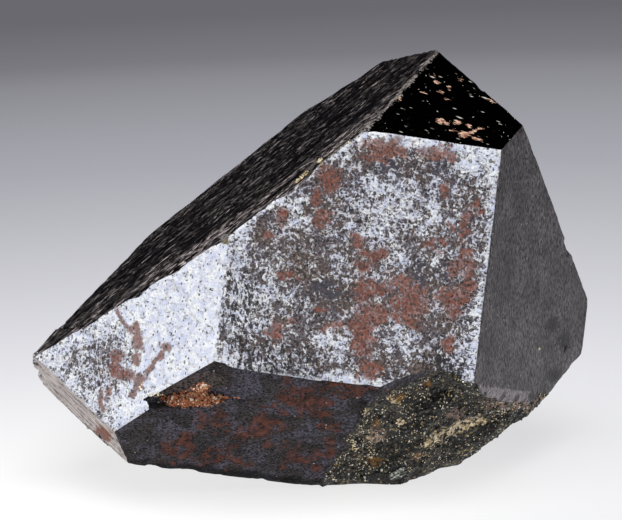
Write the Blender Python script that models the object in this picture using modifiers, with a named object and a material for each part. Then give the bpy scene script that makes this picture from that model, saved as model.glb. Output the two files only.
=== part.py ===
"""Uraninite crystal: a cube and octahedron grown together, with the broken contact where it left its matrix.

Lengths are in metres and +Z is up. The crystal is modelled about its own centre, in the attitude in which it
stands, and an empty then lifts it so that the origin lies under the middle of its bounding box.
"""

from math import radians

import bmesh
import bpy
from mathutils import Euler, Matrix, Vector, noise

MM = 0.001

# Attitude of the crystal's a, b and c axes as it stands.
ATTITUDE = Euler((radians(34.21), radians(-13.52), radians(-75.01)), "XYZ").to_matrix()

# Distance of each grown face from the crystal's centre, by its Miller index.
CUBE_FACES = {
    (1, 0, 0): 8.77 * MM,
    (-1, 0, 0): 9.81 * MM,
    (0, 1, 0): 8.65 * MM,
    (0, -1, 0): 13.03 * MM,
    (0, 0, 1): 5.79 * MM,
    (0, 0, -1): 9.23 * MM,
}
OCTAHEDRON_FACES = {
    (1, 1, 1): 9.81 * MM,
    (1, -1, 1): 11.21 * MM,
    (-1, -1, 1): 11.15 * MM,
    (-1, 1, 1): 11.95 * MM,
    (1, 1, -1): 8.11 * MM,
    (-1, 1, -1): 10.57 * MM,
    (-1, -1, -1): 5.78 * MM,
}
# A narrow worn facet runs along the edge between the top cube face and the top octahedron face.
WORN_EDGE = (1, 1, 2)
WORN_EDGE_DISTANCE = 9.27 * MM

# Growth sectors on the rear faces: a face, the direction it leans towards, how much, and its distance.
GROWTH_SECTORS = (
    ((-1, 0, 0), (0, -1, 1), 0.05, 9.62 * MM),
    ((-1, 1, -1), (-1, 0, 0), 0.06, 10.33 * MM),
    ((-1, -1, 1), (-1, 0, 0), 0.05, 10.98 * MM),
    ((0, 0, -1), (-1, 0, 0), 0.06, 9.35 * MM),
)

# A rind of overgrowth on the underside, along the narrow left face and just inside its plane.
RIND_FACES = {
    (-1, -1, -1): 6.15 * MM,
    (0, -1, 0): 13.01 * MM,
    (-1, -1, 1): 11.12 * MM,
}
RIND_INNER_DISTANCE = 11.3 * MM
RIND_END_DISTANCE = 7.7 * MM

# The front lower octahedron face has two levels: the face, and a growth layer that thickens to the left.
LAYERED_FACE = (1, -1, -1)
LAYERED_FACE_DISTANCE = 8.90 * MM
GROWTH_LAYER = (
    Vector((-9.60, -8.63, -4.72)) * MM,
    Vector((-1.75, -8.85, -3.68)) * MM,
    Vector((-1.90, -5.55, -7.60)) * MM,
)
# The layer's upper lip, from the left, and three points of the terrace that it stops at.
LEDGE_LIP = (
    Vector((-8.35, -9.51, -3.64)) * MM,
    Vector((-7.05, -9.58, -3.47)) * MM,
    Vector((-5.87, -9.67, -3.27)) * MM,
    Vector((-4.82, -9.81, -3.04)) * MM,
    Vector((-3.61, -9.54, -3.23)) * MM,
    Vector((-1.80, -9.10, -3.60)) * MM,
)
TERRACE = (
    Vector((-5.18, -10.99, -1.16)) * MM,
    Vector((-8.31, -9.42, -2.98)) * MM,
    Vector((-3.61, -9.33, -3.05)) * MM,
)
TERRACE_REACH = 6 * MM
# The hollow along the lip, where ochre gathered: its ends, half width and half depth.
HOLLOW_ENDS = (Vector((-8.55, -9.35, -3.20)) * MM, Vector((-4.90, -9.75, -2.80)) * MM)
HOLLOW_HALF_SIZE = (0.34 * MM, 0.45 * MM)

# The broken contact at the lower right, in two breaks, and the small cleaved facet above its right end.
# Each wall of a break is a point and the normal that leads out of the crystal.
BREAKS = {
    "upper_break": (
        (Vector((1.25, -8.16, -3.80)) * MM, Vector((0.414, -0.593, -0.690))),
        (Vector((3.86, -8.80, -2.02)) * MM, Vector((-0.356, -0.317, -0.879))),
    ),
    "lower_break": ((Vector((6.04, -6.13, -3.87)) * MM, Vector((0.624, -0.425, -0.656))),),
}
BREAK_STOCK_CENTRE = Vector((6.0, -8.0, -7.0)) * MM
BREAK_STOCK_SIZE = 18 * MM
CLEAVED_FACET = (
    Vector((5.54, -7.93, -2.92)) * MM,
    Vector((7.97, -1.75, -4.53)) * MM,
    Vector((6.04, -6.13, -3.87)) * MM,
)

# The stub of contact crust that the crystal stands on, from where it hides in the crystal down to a little
# below the ground, where it is cut off. Each wall passes through a point of its foot line.
GROUND = -7.92 * MM
STUB_HEIGHT = 4.6 * MM
STUB_FOOT = 1 * MM
STUB_WALLS = (
    ((0.70 * MM, -4.55 * MM, GROUND), (0.05, -0.86, -0.50)),
    ((3.20 * MM, -3.00 * MM, GROUND), (0.72, -0.45, -0.53)),
    ((4.55 * MM, 0.40 * MM, GROUND), (0.74, -0.16, -0.65)),
    ((3.60 * MM, 3.40 * MM, GROUND), (0.45, 0.60, -0.66)),
    ((-1.50 * MM, 3.80 * MM, GROUND), (-0.22, 0.74, -0.63)),
    ((-4.80 * MM, 0.80 * MM, GROUND), (-0.74, 0.10, -0.66)),
    ((-4.10 * MM, -2.40 * MM, GROUND), (-0.50, -0.52, -0.69)),
)

# Grain of the broken surfaces: mesh spacing, then the width and height of the coarse and fine lumps.
BREAK_SPACING = 0.44 * MM
COARSE_LUMPS = (1.5 * MM, 0.55 * MM)
FINE_LUMPS = (0.5 * MM, 0.22 * MM)

# Chips along the edges: where each is centred, and its radius.
CHIPS = (
    (Vector((-13.48, -3.95, -2.53)) * MM, 0.42 * MM),
    (Vector((-12.15, -2.40, -5.35)) * MM, 0.42 * MM),
    (Vector((-11.60, -3.60, -5.45)) * MM, 0.30 * MM),
    (Vector((-10.45, -5.70, -5.62)) * MM, 0.30 * MM),
    (Vector((-9.95, -6.00, -6.30)) * MM, 0.34 * MM),
    (Vector((-13.30, -3.20, -3.35)) * MM, 0.30 * MM),
    (Vector((5.60, -8.65, -2.30)) * MM, 0.26 * MM),
    (Vector((5.68, -8.36, -1.66)) * MM, 0.16 * MM),
    (Vector((2.20, -9.50, -2.52)) * MM, 0.28 * MM),
    (Vector((-3.60, -9.02, 5.12)) * MM, 0.16 * MM),
    (Vector((-10.50, -7.95, -4.05)) * MM, 0.20 * MM),
    (Vector((9.62, 1.90, -3.40)) * MM, 0.28 * MM),
)
# How rough the walls of the chips and of the ochre hollow are, and how often the hollow's walls turn.
CHIP_ROUGHNESS = 0.35
HOLLOW_TURNS = 2.5

# Growth pits on the dark top cube face: long hollows along the b axis, sunk below the flat of the face.
PITTED_FACE = (0, 0, 1)
PIT_FIELD = (26 * MM, 22 * MM)
PIT_SPACING = 0.5 * MM
PIT_WIDTH, PIT_LENGTH = 0.9 * MM, 2.6 * MM
PIT_SHARE = 0.08
PIT_DEPTH = 0.7 * MM
DEEPEST_PIT = 0.16 * MM
# The face is first grown this much too high, and a slab of this thickness then cuts it down, pits and all.
FACE_SKIM = 0.06 * MM
SLAB_THICKNESS = 1 * MM

STOCK_SIZE = 60 * MM
MERGE = 0.001 * MM

CRYSTAL_COLOUR = (0.10, 0.10, 0.115, 1)
CRYSTAL_METALLIC = 0.35
CRYSTAL_ROUGHNESS = 0.42


def clear_scene():
    for obj in list(bpy.data.objects):
        bpy.data.objects.remove(obj, do_unlink=True)


def make_collection(name):
    collection = bpy.data.collections.new(name)
    bpy.context.scene.collection.children.link(collection)
    return collection


def make_object(name, bm, collection):
    """Puts the bmesh into a new object of this collection."""
    mesh = bpy.data.meshes.new(name)
    bmesh.ops.recalc_face_normals(bm, faces=bm.faces)
    bm.to_mesh(mesh)
    bm.free()
    obj = bpy.data.objects.new(name, mesh)
    collection.objects.link(obj)
    return obj


def make_cutter(name, bm, collection):
    obj = make_object(name, bm, collection)
    obj.hide_render = True
    obj.display_type = "WIRE"
    return obj


def miller_normal(index):
    """Outward normal of a crystal face, as the crystal stands."""
    return (ATTITUDE @ Vector(index)).normalized()


def plane_through(points, outward):
    """A point and the unit normal of the plane through three points, on the side of outward."""
    normal = (points[1] - points[0]).cross(points[2] - points[0]).normalized()
    return points[0], normal if normal.dot(outward) > 0 else -normal


def lift(bm, faces, by):
    """Raises a sheet of faces into a solid, by this vector."""
    raised = bmesh.ops.extrude_face_region(bm, geom=faces)["geom"]
    bmesh.ops.translate(bm, vec=by, verts=[v for v in raised if isinstance(v, bmesh.types.BMVert)])


def stock(size=STOCK_SIZE, centre=Vector()):
    """A cube to be cut down to a solid."""
    bm = bmesh.new()
    bmesh.ops.create_cube(bm, size=size, matrix=Matrix.Translation(centre))
    return bm


def cut_off(bm, point, normal):
    """Removes what lies beyond the plane and closes the cut."""
    bmesh.ops.bisect_plane(
        bm,
        geom=bm.verts[:] + bm.edges[:] + bm.faces[:],
        dist=MERGE,
        plane_co=point,
        plane_no=normal,
        clear_outer=True,
    )
    bmesh.ops.holes_fill(bm, edges=[edge for edge in bm.edges if edge.is_boundary])


def grown_form(changed=()):
    """The cube and octahedron, without the layered face. A changed face has another distance."""
    bm = stock()
    faces = CUBE_FACES | OCTAHEDRON_FACES | {WORN_EDGE: WORN_EDGE_DISTANCE} | dict(changed)
    faces[PITTED_FACE] += FACE_SKIM
    for index, distance in faces.items():
        normal = miller_normal(index)
        cut_off(bm, normal * distance, normal)
    for index, towards, lean, distance in GROWTH_SECTORS:
        normal = (miller_normal(index) + lean * miller_normal(towards)).normalized()
        cut_off(bm, normal * distance, normal)
    return bm


def rind():
    """The crystal's own outline with its underside lower, kept only along the narrow left face."""
    bm = grown_form(RIND_FACES)
    side = miller_normal((0, -1, 0))
    cut_off(bm, side * RIND_INNER_DISTANCE, -side)
    front = miller_normal(LAYERED_FACE)
    cut_off(bm, front * RIND_END_DISTANCE, front)
    return bm


def beyond_layered_face():
    """Everything outside both levels of the layered face."""
    bm = stock()
    normal = miller_normal(LAYERED_FACE)
    cut_off(bm, normal * LAYERED_FACE_DISTANCE, -normal)
    point, layer_normal = plane_through(GROWTH_LAYER, normal)
    cut_off(bm, point, -layer_normal)
    return bm


def above_ledge():
    """A prism that stands on the terrace, with the layer's lip as its lower side."""
    normal = miller_normal(LAYERED_FACE)
    point, terrace_normal = plane_through(TERRACE, normal)
    first, last = LEDGE_LIP[0], LEDGE_LIP[-1]
    away = (last - first).cross(normal).normalized() * TERRACE_REACH
    away = away if away.z > 0 else -away
    bm = bmesh.new()
    floor = []
    for corner in (*LEDGE_LIP, last + away, first + away):
        above = (corner - point).dot(terrace_normal) / normal.dot(terrace_normal)
        floor.append(bm.verts.new(corner - normal * above))
    lift(bm, [bm.faces.new(floor)], normal * TERRACE_REACH)
    return bm


def ochre_hollow():
    """A long rough hollow along the ledge's lip."""
    start, end = HOLLOW_ENDS
    along = (end - start).normalized()
    depth = miller_normal(LAYERED_FACE)
    frame = Matrix((along, depth.cross(along), depth)).transposed().to_4x4()
    width, deep = HOLLOW_HALF_SIZE
    scale = Matrix.Diagonal(((end - start).length / 2, width, deep, 1))
    bm = bmesh.new()
    bmesh.ops.create_icosphere(bm, subdivisions=3, radius=1)
    for vert in bm.verts:
        vert.co *= 1 + CHIP_ROUGHNESS * noise.noise(vert.co * HOLLOW_TURNS)
    place = Matrix.Translation((start + end) / 2) @ frame @ scale
    bmesh.ops.transform(bm, matrix=place, verts=bm.verts)
    return bm


def broken_block(walls):
    """Everything beyond all the walls of a break."""
    bm = stock(BREAK_STOCK_SIZE, BREAK_STOCK_CENTRE)
    for point, normal in walls:
        cut_off(bm, point, -normal)
    return bm


def beyond_cleaved_facet():
    """Everything outside the small cleaved facet."""
    bm = stock()
    point, normal = plane_through(CLEAVED_FACET, miller_normal((1, 1, -1)))
    cut_off(bm, point, -normal)
    return bm


def crust_stub():
    """The stub of contact crust, reaching a little below the ground."""
    bm = stock()
    for point, normal in STUB_WALLS:
        cut_off(bm, Vector(point), Vector(normal))
    cut_off(bm, Vector((0, 0, GROUND + STUB_HEIGHT)), Vector((0, 0, 1)))
    cut_off(bm, Vector((0, 0, GROUND - STUB_FOOT)), Vector((0, 0, -1)))
    return bm


def roughen(obj):
    """Turns an object's flat walls into a broken, lumpy surface."""
    remesh = obj.modifiers.new("even_mesh", "REMESH")
    remesh.mode = "VOXEL"
    remesh.voxel_size = BREAK_SPACING
    for label, (width, height) in (("coarse_lumps", COARSE_LUMPS), ("fine_lumps", FINE_LUMPS)):
        texture = bpy.data.textures.new(label, "CLOUDS")
        texture.noise_scale = width
        texture.noise_depth = 1
        displace = obj.modifiers.new(label, "DISPLACE")
        displace.texture = texture
        displace.texture_coords = "LOCAL"
        displace.strength = height


def chips():
    """Small broken hollows, as rough balls that don't touch each other."""
    bm = bmesh.new()
    for centre, radius in CHIPS:
        place = Matrix.Translation(centre)
        ball = bmesh.ops.create_icosphere(bm, subdivisions=2, radius=radius, matrix=place)
        for vert in ball["verts"]:
            out = vert.co - centre
            vert.co = centre + out * (1 + CHIP_ROUGHNESS * noise.noise(vert.co / radius))
    return bm


def beyond_pitted_face():
    """A slab on the pitted face, with a lower side that follows the flat of the face and its pits."""
    normal = miller_normal(PITTED_FACE)
    across, along = miller_normal((1, 0, 0)), miller_normal((0, 1, 0))
    steps = [round(side / PIT_SPACING) for side in PIT_FIELD]
    bm = bmesh.new()
    bmesh.ops.create_grid(bm, x_segments=steps[0], y_segments=steps[1], size=0.5)
    for vert in bm.verts:
        u, v = vert.co.x * PIT_FIELD[0], vert.co.y * PIT_FIELD[1]
        hollow = noise.noise(Vector((u / PIT_WIDTH, v / PIT_LENGTH, 0))) - PIT_SHARE
        depth = min(max(hollow, 0) * PIT_DEPTH, DEEPEST_PIT)
        vert.co = across * u + along * v + normal * (CUBE_FACES[PITTED_FACE] - depth)
    lift(bm, bm.faces[:], normal * SLAB_THICKNESS)
    return bm


def below_ground():
    bm = stock()
    cut_off(bm, Vector((0, 0, GROUND)), Vector((0, 0, 1)))
    return bm


def join(obj, other, operation):
    """Adds another object to this one, or takes it away."""
    modifier = obj.modifiers.new(other.name, "BOOLEAN")
    modifier.operation = operation
    modifier.solver = "EXACT"
    modifier.object = other


def stand_on_origin(obj, carrier):
    """Moves the carrier so that the origin lies under the middle of the crystal's bounding box."""
    bpy.context.view_layer.update()
    evaluated = obj.evaluated_get(bpy.context.evaluated_depsgraph_get())
    corners = [Vector(corner) for corner in evaluated.bound_box]
    low = Vector(min(corner[i] for corner in corners) for i in range(3))
    high = Vector(max(corner[i] for corner in corners) for i in range(3))
    carrier.location = (-(low.x + high.x) / 2, -(low.y + high.y) / 2, -low.z)


def crystal_material():
    material = bpy.data.materials.new("uraninite")
    material.use_nodes = True
    shader = material.node_tree.nodes["Principled BSDF"]
    shader.inputs["Base Color"].default_value = CRYSTAL_COLOUR
    shader.inputs["Metallic"].default_value = CRYSTAL_METALLIC
    shader.inputs["Roughness"].default_value = CRYSTAL_ROUGHNESS
    return material


clear_scene()
parts = make_collection("uraninite")
cutters = make_collection("cutters")

carrier = bpy.data.objects.new("crystal_centre", None)
parts.objects.link(carrier)
crystal = make_object("uraninite_crystal", grown_form(), parts)
crystal.data.materials.append(crystal_material())

breaks = [make_cutter(name, broken_block(walls), cutters) for name, walls in BREAKS.items()]
stub = make_cutter("contact_stub", crust_stub(), cutters)
for rough in (*breaks, stub):
    roughen(rough)

SHAPING = (
    (make_cutter("rind", rind(), cutters), "UNION"),
    (make_cutter("layered_face", beyond_layered_face(), cutters), "DIFFERENCE"),
    (make_cutter("ledge", above_ledge(), cutters), "DIFFERENCE"),
    (make_cutter("cleaved_facet", beyond_cleaved_facet(), cutters), "DIFFERENCE"),
    (make_cutter("growth_pits", beyond_pitted_face(), cutters), "DIFFERENCE"),
    (make_cutter("ochre_hollow", ochre_hollow(), cutters), "DIFFERENCE"),
    (make_cutter("edge_chips", chips(), cutters), "DIFFERENCE"),
    *((rough, "DIFFERENCE") for rough in breaks),
    (stub, "UNION"),
    (make_cutter("ground", below_ground(), cutters), "DIFFERENCE"),
)
for other, operation in SHAPING:
    join(crystal, other, operation)
    other.parent = carrier

crystal.parent = carrier
stand_on_origin(crystal, carrier)
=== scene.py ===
"""Looks of the uraninite crystal: tarnished, stained and pitted faces, a granular contact and its grains.

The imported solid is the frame, and the crystal's fine surface is grown from it, face by face. Each mark on it
has its place as the camera sees it, in millimetres to the right of the camera's aim and above it.
"""

from itertools import product
from math import cos, radians, sin

import bmesh
import bpy
import numpy as np
from mathutils import Euler, Matrix, Vector
from mathutils.geometry import delaunay_2d_cdt


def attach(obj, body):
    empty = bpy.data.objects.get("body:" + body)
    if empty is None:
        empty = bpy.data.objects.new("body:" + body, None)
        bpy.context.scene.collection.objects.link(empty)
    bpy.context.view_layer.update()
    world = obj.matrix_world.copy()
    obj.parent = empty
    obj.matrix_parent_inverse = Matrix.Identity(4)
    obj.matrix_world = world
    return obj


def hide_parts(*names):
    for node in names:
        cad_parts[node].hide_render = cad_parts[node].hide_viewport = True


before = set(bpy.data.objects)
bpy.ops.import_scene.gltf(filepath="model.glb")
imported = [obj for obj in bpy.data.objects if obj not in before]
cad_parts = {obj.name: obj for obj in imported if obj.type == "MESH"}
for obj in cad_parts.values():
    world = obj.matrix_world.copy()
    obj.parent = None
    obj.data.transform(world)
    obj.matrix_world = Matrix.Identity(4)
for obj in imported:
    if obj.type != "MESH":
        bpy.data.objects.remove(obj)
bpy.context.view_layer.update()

# ----------------------------------------
# The camera: a long lens, which looks down on the crystal from about 350 mm. All places of marks are measured
# from its aim, so it comes first.
# ----------------------------------------
MM = 0.001
CAMERA_AIM = Vector((-0.095, 2.569, 8.165)) * MM
CAMERA_DISTANCE = 347.2 * MM
CAMERA_ELEVATION = radians(12)
CAMERA_LENS, CAMERA_SENSOR = 463.0, 36.0  # mm


def put(name, data):
    """A new object of this data in the scene, at the origin."""
    made = bpy.data.objects.new(name, data)
    bpy.context.scene.collection.objects.link(made)
    return made


to_camera = Vector((0, -cos(CAMERA_ELEVATION), sin(CAMERA_ELEVATION)))
camera = put("camera", bpy.data.cameras.new("camera"))
camera.location = CAMERA_AIM + to_camera * CAMERA_DISTANCE
camera.rotation_euler = to_camera.to_track_quat("Z", "Y").to_euler()
camera.data.sensor_fit = "HORIZONTAL"
camera.data.sensor_width = CAMERA_SENSOR
camera.data.lens = CAMERA_LENS
camera.data.clip_start = 0.01
camera.data.clip_end = 10
bpy.context.scene.camera = camera
bpy.context.scene.view_settings.view_transform = "Standard"

# ----------------------------------------
# The crystal: one loose piece of uraninite, uranium oxide, that grew as a cube whose corners are cut by
# octahedron faces. Its flat faces are split into an even fine mesh, and then worn at the edges, pitted, and
# broken up where the crystal parted from its matrix.
# ----------------------------------------
# How the crystal lies: the columns are its own cube axes. Its grown faces go by their Miller indices.
ATTITUDE = np.array(Euler((radians(34.21), radians(-13.52), radians(-75.01)), "XYZ").to_matrix())
FACES = {
    "front": (1, 0, 0), "left_front": (1, -1, 1), "top": (0, 0, 1), "peak": (1, 1, 1), "right": (1, 1, -1),
    "under": (1, -1, -1), "left_end": (0, -1, 0), "worn_edge": (1, 1, 2), "back": (-1, 0, 0),
    "right_end": (0, 1, 0), "foot": (0, 0, -1), "back_left": (-1, -1, 1), "back_peak": (-1, 1, 1),
    "back_right": (-1, 1, -1), "back_under": (-1, -1, -1),
}
SEEN_SPACING, HIDDEN_SPACING = 0.12, 0.22  # mesh edges, in mm, on the front and round the back
FLAT = radians(0.3)  # triangles of the solid that lie this level with one another are one face
SHARP = radians(38)  # edges steeper than this stay crisp
# A triangle of the solid counts as a face's own up to this lean, in degrees. Some faces lean more.
LEAST_LEAN = 0.8
LEANING = {"under": 5, "back": 5, "back_left": 5, "back_right": 5, "foot": 5}
# Depth in mm that a point may lie under a face and belong to it: growth pits on the top, the two levels of
# the front underside, and the leaning sectors at the back
LEAST_DEPTH = 0.08
DEEPEST = {"top": 0.30, "under": 0.45, "back": 0.5, "back_left": 0.5, "back_right": 0.5, "foot": 0.5}
# How level with its face a triangle is: the cosine of its lean. Pits make the top's uneven.
MOST_LEVEL, PITTED_LEVEL = 0.985, 0.6


def smooth(value, low, high):
    """0 below low, 1 above high, and an even S between them."""
    part = np.clip((value - low) / (high - low), 0, 1)
    return part * part * (3 - 2 * part)


def noise(points, size, seed):
    """Smooth noise from -1 to 1 at each point. Its lumps are about this size, or a size for each axis."""
    cell = points / np.array(size) + 17.31 * seed
    base = np.floor(cell).astype(np.int64)
    part = cell - base
    part = part * part * (3 - 2 * part)
    total = np.zeros(len(points))
    for corner in product((0, 1), repeat=3):
        x, y, z = (base + corner).T
        mixed = (x * 73856093) ^ (y * 19349663) ^ (z * 83492791)
        mixed = ((mixed ^ (mixed >> 13)) * 1274126177) & 0xFFFFFFFF
        height = ((mixed ^ (mixed >> 16)) & 0xFFFF) / 32767.5 - 1
        total += height * np.prod(np.where(corner, part, 1 - part), axis=1)
    return total


def spacing_of(face):
    """The mesh spacing that a flat face gets: finer where it is seen from the front."""
    return (SEEN_SPACING if face.normal.y < 0.15 else HIDDEN_SPACING) * MM


def inner_points(outline, spacing):
    """An even triangular lattice of points inside a flat outline, clear of its edge."""
    low, high = outline.min(axis=0), outline.max(axis=0)
    rows = np.arange(low[1] + spacing / 2, high[1], spacing * sin(radians(60)))
    columns = np.arange(low[0] + spacing / 2, high[0], spacing)
    x, y = np.meshgrid(columns, rows)
    x[1::2] += spacing / 2
    lattice = np.stack([x.ravel(), y.ravel()], axis=1)
    inside = np.zeros(len(lattice), bool)
    clear = np.full(len(lattice), np.inf)
    for start, end in zip(outline, np.roll(outline, -1, axis=0)):
        run = end - start
        offset = lattice - start
        share = np.clip(offset @ run / max(run @ run, 1e-18), 0, 1)
        clear = np.minimum(clear, ((offset - share[:, None] * run) ** 2).sum(axis=1))
        crossing = (start[1] > lattice[:, 1]) != (end[1] > lattice[:, 1])
        if run[1]:
            inside ^= crossing & (lattice[:, 0] < start[0] + run[0] * (lattice[:, 1] - start[1]) / run[1])
    return lattice[inside & (clear > (spacing / 2) ** 2)]


def even_mesh(source):
    """The solid as an even fine mesh: its flat faces get an outline of short edges, and a lattice inside."""
    bm = bmesh.new()
    bm.from_mesh(source)
    bmesh.ops.remove_doubles(bm, verts=bm.verts, dist=0.0005 * MM)
    bmesh.ops.dissolve_limit(bm, angle_limit=FLAT, verts=bm.verts[:], edges=bm.edges[:])
    for edge in bm.edges[:]:
        spacing = min(spacing_of(face) for face in edge.link_faces)
        for left in range(int(edge.calc_length() / spacing), 0, -1):
            bmesh.utils.edge_split(edge, edge.verts[0], 1 / (left + 1))
    for face in bm.faces[:]:
        turn = face.normal.to_track_quat("Z", "Y").inverted()
        flat = [turn @ vert.co for vert in face.verts]
        height = flat[0].z
        outline = [corner.xy for corner in flat]
        inner = [Vector(point) for point in inner_points(np.array(outline), spacing_of(face))]
        ring = [list(range(len(outline)))]
        filled = delaunay_2d_cdt(outline + inner, [], ring, 1, 1e-9)
        corners = [face.verts[sources[0]] if sources and sources[0] < len(outline) else None
                   for sources in filled[3]]
        for i, place in enumerate(filled[0]):
            if corners[i] is None:
                corners[i] = bm.verts.new(turn.inverted() @ Vector((place.x, place.y, height)))
        bm.faces.remove(face)
        for triangle in filled[2]:
            bm.faces.new([corners[i] for i in triangle])
    return bm


def mesh_from(bm, name):
    """The finished bmesh as a mesh of this name."""
    mesh = bpy.data.meshes.new(name)
    bm.to_mesh(mesh)
    bm.free()
    return mesh


def read(items, name, width=3, kind=float):
    """One value of each of these parts of a mesh, as rows of this many numbers."""
    values = np.empty(width * len(items), kind)
    items.foreach_get(name, values)
    return values.reshape(-1, width)


def plane_distance(normal, lean, middles, normals, areas):
    """How far out the solid's own face of this normal lies. It may lean by this many degrees."""
    level = normals @ normal > cos(radians(lean))
    return np.average((middles @ normal)[level], weights=areas[level] ** 2)


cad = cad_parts["uraninite_crystal"].data
middles, normals = read(cad.polygons, "center") / MM, read(cad.polygons, "normal")
areas = read(cad.polygons, "area", 1).ravel()
directions = {name: ATTITUDE @ index / np.linalg.norm(index) for name, index in FACES.items()}
reaches = {name: plane_distance(way, LEANING.get(name, LEAST_LEAN), middles, normals, areas)
           for name, way in directions.items()}

bm = even_mesh(cad)
bm.normal_update()
crystal_mesh = mesh_from(bm, "uraninite_surface")
points, out = read(crystal_mesh.vertices, "co") / MM, read(crystal_mesh.vertices, "normal")
corners = read(crystal_mesh.polygons, "vertices", kind=np.int64)

# How deep each point lies under each grown face, and which face each triangle belongs to.
under = {name: reaches[name] - points @ directions[name] for name in FACES}
sides = points[corners]
triangle_normals = np.cross(sides[:, 1] - sides[:, 0], sides[:, 2] - sides[:, 0])
triangle_normals /= np.maximum(np.linalg.norm(triangle_normals, axis=1, keepdims=True), 1e-12)
names = list(FACES)
fits = []
for name in names:
    depth = np.abs(under[name][corners].mean(axis=1))
    alike = triangle_normals @ directions[name]
    alike[alike < (PITTED_LEVEL if name == "top" else MOST_LEVEL)] = 0
    fits.append(np.where(depth < DEEPEST.get(name, LEAST_DEPTH), alike, 0))
BROKEN = len(names)  # the number of the ground that is no face's
face_of = np.where(np.max(fits, axis=0) > 0, np.argmax(fits, axis=0), BROKEN)
broken = np.zeros(len(points))
touching = np.zeros(len(points))
for i in range(3):
    np.add.at(broken, corners[:, i], face_of == BROKEN)
    np.add.at(touching, corners[:, i], 1)
broken /= touching
on = {}
for i, name in enumerate(names):
    on[name] = np.zeros(len(points), bool)
    on[name][corners[face_of == i].ravel()] = True

# The same points as the camera sees them: mm to the right of its aim, and above it.
offset = points - np.array(CAMERA_AIM) / MM
upward = np.array((0, sin(CAMERA_ELEVATION), cos(CAMERA_ELEVATION)))
nearness = CAMERA_DISTANCE / (CAMERA_DISTANCE - offset @ np.array(to_camera) * MM)
seen = np.stack([offset[:, 0], offset @ upward], axis=1) * nearness[:, None]
facing = out @ np.array(to_camera) > 0


def shifted(ragged):
    """The seen places, moved about a little, which makes the outline of a mark ragged."""
    ways = [noise(points, 0.5, 21 + i) + 0.6 * noise(points, 0.22, 31 + i) for i in range(2)]
    return seen + ragged * np.stack(ways, axis=1)


def painted(marks, ragged=0.25):
    """How far each point lies in these marks, from 0 to 1. A mark has the place of its middle, its half width
    and half height in mm, and where it is tilted, by how many degrees."""
    places = shifted(ragged)
    inside = np.zeros(len(points))
    for x, y, half_width, half_height, *tilt in marks:
        right, up = (places - (x, y)).T
        turn = radians(sum(tilt))
        u = (right * cos(turn) + up * sin(turn)) / half_width
        v = (up * cos(turn) - right * sin(turn)) / half_height
        inside = np.maximum(inside, 1 - smooth(np.hypot(u, v), 0.3, 1.6))
    return inside * facing


def within(outline, ragged=0.12):
    """Which points lie inside this outline, as seen."""
    x, y = shifted(ragged).T
    found = np.zeros(len(points), bool)
    for (x0, y0), (x1, y1) in zip(outline, outline[1:] + outline[:1]):
        crossing = (y0 > y) != (y1 > y)
        if y0 != y1:
            found ^= crossing & (x < x0 + (x1 - x0) * (y - y0) / (y1 - y0))
    return found & facing


def to_edge(face, other):
    """Distance along one face from its edge with another, in mm."""
    return np.abs(under[other]) / np.sin(np.arccos(directions[face] @ directions[other]))


# The crystal parted from its matrix inside this outline, and a crust grew there. Other breaks are bare.
CONTACT = [
    (0.5, -9.72), (0.65, -9.3), (1.2, -8.6), (1.45, -8.35), (1.65, -7.7), (1.85, -7.07), (2.1, -6.65),
    (2.6, -6.25), (3.2, -6.0), (3.8, -5.5), (4.5, -5.25), (5.05, -4.75), (5.65, -4.85), (6.35, -4.95),
    (6.5, -5.2), (7.25, -5.45), (7.35, -5.8), (7.75, -6.05), (8.5, -6.2), (9.45, -6.25), (10.0, -5.85),
    (10.9, -5.6), (10.9, -7.5), (9.0, -8.6), (5.0, -11.0), (0.5, -11.0),
]
contact = within(CONTACT)
bare_break = (broken > 0) & facing & ~contact
crusted = np.where(facing, contact, broken > 0.5)
crumbly = np.maximum(crusted, 0.35 * broken)

# The relief: edges are rounded and nicked, faces undulate a little, and each has its own growth marks. Depths
# are in mm. Each layer of swells or lumps has its height, the size of its lumps, and its seed.
EDGE_WEAR, NICKS, CHIPS, PITS, FLECK_PITS = 0.05, 0.12, 0.10, 0.06, 0.03
THREADS, RIBS = 0.03, 0.025
FILLED = 0.85  # share of the top's growth pits that is filled again, away from its front edge
SWELLS = ((0.012, 2.2, 4), (0.005, 0.6, 5))
LUMPS = ((0.11, 0.95, 10), (0.10, 0.45, 11), (0.07, 0.24, 12))
LOW_LINE, LOW_SLOPE = -9.55, 0.117  # the lowest edge of the front underside, as seen: it is chipped
RIB_ALONG, RIB_ACROSS = ((ATTITUDE[:, 2] + way * ATTITUDE[:, 0]) / 2 ** 0.5 for way in (-1, 1))
RIB_STRETCH = 6  # how much longer the ribs of the left end are than they are wide
# How far each point is from an edge: from the second nearest of the planes that bound the whole form.
whole = [depths for name, depths in under.items() if (depths > -0.5).mean() > 0.995]
nearest = np.sort(np.abs(np.stack(whole)), axis=0)[1]
along = points @ ATTITUDE  # the same points along the crystal's own axes
nicked = 0.35 + 0.65 * smooth(noise(points, 0.9, 1) + 0.5 * noise(points, 0.3, 2), -0.3, 0.8)
wear = EDGE_WEAR * (1 - smooth(nearest, 0, 0.20)) * nicked
wear += NICKS * (1 - smooth(nearest, 0.05, 0.36)) * smooth(noise(points, 1.1, 3), 0.42, 0.75)
chipped = smooth(noise(points, 0.9, 48) + 0.8 * noise(points, 0.3, 49), -0.3, 0.9)
above_line = seen[:, 1] + LOW_SLOPE * seen[:, 0] - LOW_LINE
chipped *= CHIPS * on["under"] * (1 - smooth(above_line, 0.0, 0.4))
swell, lumps = (sum(height * noise(points, size, seed) for height, size, seed in ground)
                for ground in (SWELLS, LUMPS))
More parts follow.
